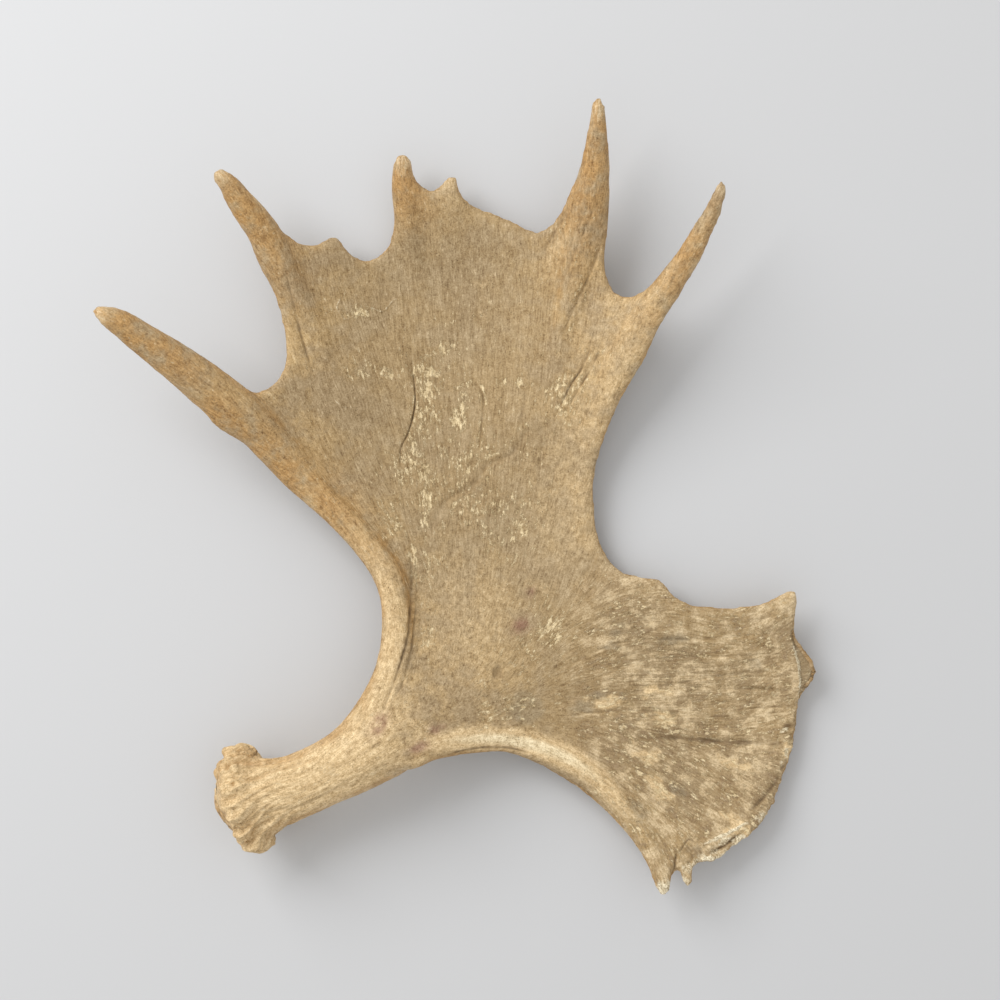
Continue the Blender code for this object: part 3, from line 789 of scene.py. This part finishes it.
beam_cut, beam_out = middle_between("beam", "main_palm")
brow_cut, brow_out = middle_between("main_palm", "brow_palm")
PARTS = {
    "beam": [(beam_cut, beam_out)],
    "main_palm": [(beam_cut, -beam_out), (brow_cut, brow_out)],
    "brow_palm": [(beam_cut, -beam_out), (brow_cut, -brow_out)],
}
parts = {}
for name, cuts in PARTS.items():
    part = parted(bone, cuts)
    round_over_cuts(part, cuts)
    parts[name] = part

# ----------------------------------------------------------------------------------------
# The look of the bone. Dry antler is matt and brown where the velvet's blood stained it, and
# straw-coloured where it was rubbed or bleached, with painted light on the right flank of the hollow and
# a painted highlight along the arch. Its grain, streaks and flecks follow the growth, dirt sits in the
# grooves, painted shade darkens the holes, cavity and facet at the broken edge and the flap, and where it
# is broken the inside is white and spongy.


def paint(red, green, blue):
    """A colour given as a painter mixes it, 0 to 255, in the renderer's own scale."""
    parts_of_one = [value / 255 for value in (red, green, blue)]
    return (*[v / 12.92 if v < 0.04045 else ((v + 0.055) / 1.055) ** 2.4 for v in parts_of_one], 1)


GREY_BROWN, GOLD_BROWN, EARTH = paint(159, 135, 100), paint(186, 156, 109), paint(151, 128, 93)
LIGHT_BROWN, DARK_BROWN = paint(216, 192, 152), paint(138, 114, 84)
STRAW, DARK_STRAW = paint(230, 202, 156), paint(198, 168, 122)
GOLD = paint(178, 137, 83)
HIGHLIGHT_CREAM = paint(238, 219, 180)
FLAKE = paint(230, 208, 164)
DIRT_AND_SHADE_BROWN = paint(100, 79, 55)
MAUVE = paint(140, 98, 82)
GREY = paint(140, 125, 100)
WHITE_BONE = paint(238, 224, 192)


class Look:
    """A material's node tree, with short ways to add to it."""

    def __init__(self, name):
        self.material = bpy.data.materials.new(name)
        self.material.use_nodes = True
        self.tree = self.material.node_tree
        self.shader = self.tree.nodes["Principled BSDF"]
        self.place = self.node("TexCoord").outputs["Object"]

    def node(self, kind, inputs=None, **settings):
        """A new node of a kind, with its inputs joined or set."""
        made = self.tree.nodes.new("ShaderNode" + kind)
        for name, value in settings.items():
            setattr(made, name, value)
        for name, value in (inputs or {}).items():
            self.join(value, made.inputs[name])
        return made

    def join(self, value, socket):
        """Lead a node's output into a socket, or give the socket a plain value."""
        if isinstance(value, bpy.types.NodeSocket):
            self.tree.links.new(value, socket)
        else:
            socket.default_value = value

    def maths(self, operation, *values):
        made = self.node("Math", dict(enumerate(values)), operation=operation)
        return made.outputs[0]

    def times(self, one, other):
        return self.maths("MULTIPLY", one, other)

    def added(self, start, *parts):
        """The start with some values added, each times its own weight."""
        for value, weight in parts:
            start = self.maths("MULTIPLY_ADD", value, weight, start)
        return start

    def swung(self, start, *noises):
        """The start swung up and down by noises around a half, each by its own strength."""
        for noise, strength in noises:
            start = self.added(start, (self.maths("SUBTRACT", noise, 0.5), strength))
        return start

    def mark(self, name):
        """One of the marks that were laid on the bone while it was carved."""
        return self.node("Attribute", attribute_name=name).outputs["Fac"]

    def between(self, value, low, high, most=1.0):
        """0 where the value is below low, rising smoothly to the most where it is above high."""
        inputs = {"Value": value, "From Min": low, "From Max": high, "To Max": most}
        return self.node("MapRange", inputs, interpolation_type="SMOOTHSTEP").outputs[0]

    def noise(self, size, seed, detail=2.0, roughness=0.5):
        """Even noise, its lumps so many mm across."""
        offset = (seed * 3.7, seed * 1.9, seed * 5.3)
        scale = (1 / (size * MM),) * 3
        inputs = {0: self.place, 1: scale, 2: offset}
        spread = self.node("VectorMath", inputs, operation="MULTIPLY_ADD").outputs[0]
        inputs = {"Vector": spread, "Scale": 1.0, "Detail": detail, "Roughness": roughness}
        return self.node("TexNoise", inputs).outputs["Fac"]

    def follow_growth(self):
        """Set up the two families of directions that noise along the growth is made in."""
        sector = self.maths("DIVIDE", self.mark("heading"), SECTOR)
        self.families = []
        for family in (0, 1):
            half = self.maths("DIVIDE", self.maths("SUBTRACT", sector, float(family)), 2.0)
            centre = self.maths("MULTIPLY_ADD", self.maths("ROUND", half), 2.0, float(family))
            angle = self.maths("MULTIPLY", centre, -SECTOR)
            inputs = {"Vector": self.place, "Angle": angle}
            turned = self.node("VectorRotate", inputs, rotation_type="Z_AXIS")
            off_centre = self.maths("SUBTRACT", sector, centre)
            share = self.maths("COSINE", self.maths("MULTIPLY", off_centre, math.pi / 2))
            self.families.append((turned.outputs[0], centre, share))

    def grown(self, across, along, seed, detail=2.0, roughness=0.5):
        """Noise drawn out along the growth, its lumps so many mm across it and along it."""
        total = 0.5
        for turned, centre, share in self.families:
            shift = self.maths("MULTIPLY_ADD", centre, SECTOR_SHIFT, seed * 7.1)
            offset = self.node("CombineXYZ", {0: shift, 1: shift, 2: float(seed)}).outputs[0]
            scale = (1 / (along * MM), 1 / (across * MM), 1 / (across * MM))
            spread = self.node("VectorMath", {0: turned, 1: scale, 2: offset}, operation="MULTIPLY_ADD")
            inputs = {"Vector": spread.outputs[0], "Scale": 1.0, "Detail": detail, "Roughness": roughness}
            lump = self.node("TexNoise", inputs).outputs["Fac"]
            total = self.maths("MULTIPLY_ADD", self.maths("SUBTRACT", lump, 0.5), share, total)
        return total

    def mix(self, share, one, other, blend="MIX"):
        made = self.tree.nodes.new("ShaderNodeMix")
        made.data_type = "RGBA"
        made.blend_type = blend
        self.join(share, made.inputs[0])
        self.join(one, made.inputs[6])
        self.join(other, made.inputs[7])
        return made.outputs[2]


def bone_look(name):
    """Dry antler bone, drawn from patterns along the growth and from the marks on the bone."""
    look = Look(name)
    look.follow_growth()
    broad = look.noise(55, 1)
    blotches = look.noise(17, 2, 6.0, 0.6)
    mottle = look.noise(5, 9, 6.0, 0.7)
    grain = look.noise(1.3, 3)
    holes = look.noise(1.8, 8)
    streak = look.grown(1.9, 26, 4, 4.0, 0.6)
    band = look.grown(5.5, 22, 5, 7.0, 0.68)
    fibre = look.grown(1.2, 14, 6)
    fleck = look.grown(2.8, 6.5, 7, 8.0, 0.74)
    straw, gold, groove_dirt_and_shade = look.mark("straw"), look.mark("gold"), look.mark("groove")
    chip, broken, tip = look.mark("chip"), look.mark("broken"), look.mark("tip")
    weathered = look.mark("weathered")

    # The brown bone, golden in some areas and grey in others, and the straw-coloured bone over it, which
    # also carries painted light on the right flank of the hollow and a painted highlight along the arch.
    hue = look.maths("ADD", look.times(broad, 0.5), look.times(blotches, 0.5))
    colour = look.mix(look.between(hue, 0.40, 0.60), GREY_BROWN, GOLD_BROWN)
    # Darker grey-brown towards the lowest part of the hollow.
    colour = look.mix(look.times(look.mark("darkening"), 0.60), colour, EARTH)
    worn = look.swung(band, (blotches, 1.3), (mottle, 0.8))
    dark = look.times(look.between(worn, 0.54, 0.74), weathered)
    colour = look.mix(look.times(dark, 0.75), colour, DARK_BROWN)
    light = look.times(look.between(worn, 0.54, 0.32), weathered)
    colour = look.mix(look.times(light, 0.90), colour, LIGHT_BROWN)
    straws = look.mix(look.between(streak, 0.42, 0.62), STRAW, DARK_STRAW)
    ragged = look.swung(straw, (blotches, 0.9), (mottle, 0.6))
    colour = look.mix(look.times(look.between(ragged, 0.05, 0.90), 0.92), colour, straws)
    # Painted highlight: where the straw mark is above 1, along the arch rim, the bone is painted cream.
    colour = look.mix(look.between(straw, 1.0, 1.6, 0.9), colour, HIGHLIGHT_CREAM)
    golden = look.times(gold, look.between(blotches, 0.3, 0.6, 0.90))
    colour = look.mix(golden, colour, GOLD)

    # Stains, grey patches, flaked spots and flecks, and the dirt in the grooves, with painted shade in
    # the holes, the cavity and the facet at the broken edge and on the flap.
    stained = look.times(look.mark("stain"), look.between(blotches, 0.25, 0.5, 0.70))
    colour = look.mix(stained, colour, MAUVE)
    # Grey patches and smudges, and painted shade in grey on the flap.
    colour = look.mix(look.times(look.mark("patch"), 0.45), colour, GREY)
    torn = look.swung(look.added(fleck, (chip, 0.21)), (blotches, 0.35))
    flaked = look.between(torn, 0.64, 0.70)
    colour = look.mix(look.between(fleck, 0.54, 0.66, 0.45), colour, LIGHT_BROWN)
    colour = look.mix(look.times(flaked, 0.70), colour, FLAKE)
    colour = look.mix(look.between(fleck, 0.36, 0.28, 0.4), colour, DARK_BROWN)
    # Dark brown from the groove mark: dirt in the grooves, and painted shade in the holes, the cavity and
    # the facet at the broken edge.
    seams = look.swung(groove_dirt_and_shade, (grain, 0.6))
    colour = look.mix(look.between(seams, 0.15, 0.95, 0.85), colour, DIRT_AND_SHADE_BROWN)
    polished = look.times(tip, look.between(streak, 0.62, 0.40, 0.8))
    colour = look.mix(polished, colour, LIGHT_BROWN)
    pores = look.node("TexVoronoi", {"Vector": look.place, "Scale": 1 / (2.6 * MM)}).outputs["Distance"]
    pore = look.times(look.between(pores, 0.24, 0.10), look.between(blotches, 0.48, 0.62))
    colour = look.mix(look.times(pore, 0.5), colour, DIRT_AND_SHADE_BROWN)
    sponge = look.mix(look.between(holes, 0.50, 0.62, 0.7), WHITE_BONE, EARTH)
    white = look.swung(broken, (fleck, 1.2))
    colour = look.mix(look.between(white, 0.30, 0.70, 0.9), colour, sponge)

    # Light and dark in the finest grain, over all of it.
    fine = look.swung(1.01, (streak, 1.05), (grain, 1.15), (fibre, 0.70), (band, 0.85), (mottle, 1.70))
    warm, cold = look.maths("POWER", fine, 0.85), look.maths("POWER", fine, 1.25)
    shade = look.node("CombineColor", {0: warm, 1: fine, 2: cold}).outputs[0]
    colour = look.mix(1.0, colour, shade, "MULTIPLY")
    look.join(colour, look.shader.inputs["Base Color"])

    # Rubbed bone shines a little, and dirt and broken bone do not.
    rough = look.added(look.swung(0.62, (blotches, 0.25)), (gold, -0.12), (tip, -0.12),
                       (groove_dirt_and_shade, 0.25), (broken, 0.25), (chip, 0.15))
    look.join(look.maths("MINIMUM", rough, 0.95), look.shader.inputs["Roughness"])
    look.shader.inputs["Specular IOR Level"].default_value = 0.35

    # Heights of the finest relief, in mm.
    height = look.added(look.times(fibre, 0.40), (streak, 0.6), (mottle, 0.8), (grain, 0.16),
                        (pore, -0.30), (flaked, -0.22), (look.times(broken, holes), 0.9))
    bump = look.node("Bump", {"Height": height, "Distance": MM, "Strength": 1.0})
    look.join(bump.outputs[0], look.shader.inputs["Normal"])
    return look.material


SLOTS = {"beam": "pale_antler", "main_palm": "brown_antler", "brow_palm": "weathered_antler"}
for name, part in parts.items():
    piece = bpy.data.objects.new(name + "_bone", part)
    bpy.context.collection.objects.link(piece)
    part.materials.clear()
    part.materials.append(bone_look(SLOTS[name] + "_bone"))
    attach(piece, "root")
    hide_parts(name)

# ----------------------------------------------------------------------------------------
# The studio: a plain pale floor, a big soft light from the upper left, and a camera straight
# above, far enough back for the whole antler.
FLOOR_HALF = 9
FLOOR_DROP = 0.4 * MM
FLOOR_COLOUR = paint(205, 206, 208)
DAYLIGHT, DAYLIGHT_STRENGTH = (1.0, 0.99, 0.97, 1), 0.74
LAMP_PLACE = (-1.7, 1.5, 1.9)
LAMP_SIZE, LAMP_POWER = 1.9, 60
CAMERA_PLACE = (0.0320, -0.0002, 2.0)
CAMERA_LENS, CAMERA_SENSOR = 80, 36

floor_corners = [(-FLOOR_HALF, -FLOOR_HALF), (FLOOR_HALF, -FLOOR_HALF), (FLOOR_HALF, FLOOR_HALF),
                 (-FLOOR_HALF, FLOOR_HALF)]
floor_mesh = bpy.data.meshes.new("floor")
floor_mesh.from_pydata([(x, y, -FLOOR_DROP) for x, y in floor_corners], [], [(0, 1, 2, 3)])
floor = bpy.data.objects.new("floor", floor_mesh)
bpy.context.collection.objects.link(floor)
floor_paint = bpy.data.materials.new("floor_paint")
floor_paint.use_nodes = True
floor_shader = floor_paint.node_tree.nodes["Principled BSDF"]
floor_shader.inputs["Base Color"].default_value = FLOOR_COLOUR
floor_shader.inputs["Roughness"].default_value = 0.9
floor_mesh.materials.append(floor_paint)

world = bpy.data.worlds.new("studio")
bpy.context.scene.world = world
world.use_nodes = True
daylight = world.node_tree.nodes["Background"]
daylight.inputs["Color"].default_value = DAYLIGHT
daylight.inputs["Strength"].default_value = DAYLIGHT_STRENGTH

lamp_data = bpy.data.lights.new("key", "AREA")
lamp_data.size = LAMP_SIZE
lamp_data.energy = LAMP_POWER
lamp = bpy.data.objects.new("key", lamp_data)
bpy.context.collection.objects.link(lamp)
lamp.location = LAMP_PLACE
lamp.rotation_euler = (-Vector(LAMP_PLACE)).to_track_quat("-Z", "Y").to_euler()

camera_data = bpy.data.cameras.new("camera")
camera_data.lens = CAMERA_LENS
camera_data.sensor_width = CAMERA_SENSOR
camera = bpy.data.objects.new("camera", camera_data)
bpy.context.collection.objects.link(camera)
camera.location = CAMERA_PLACE
bpy.context.scene.camera = camera
bpy.context.scene.view_settings.view_transform = "Standard"
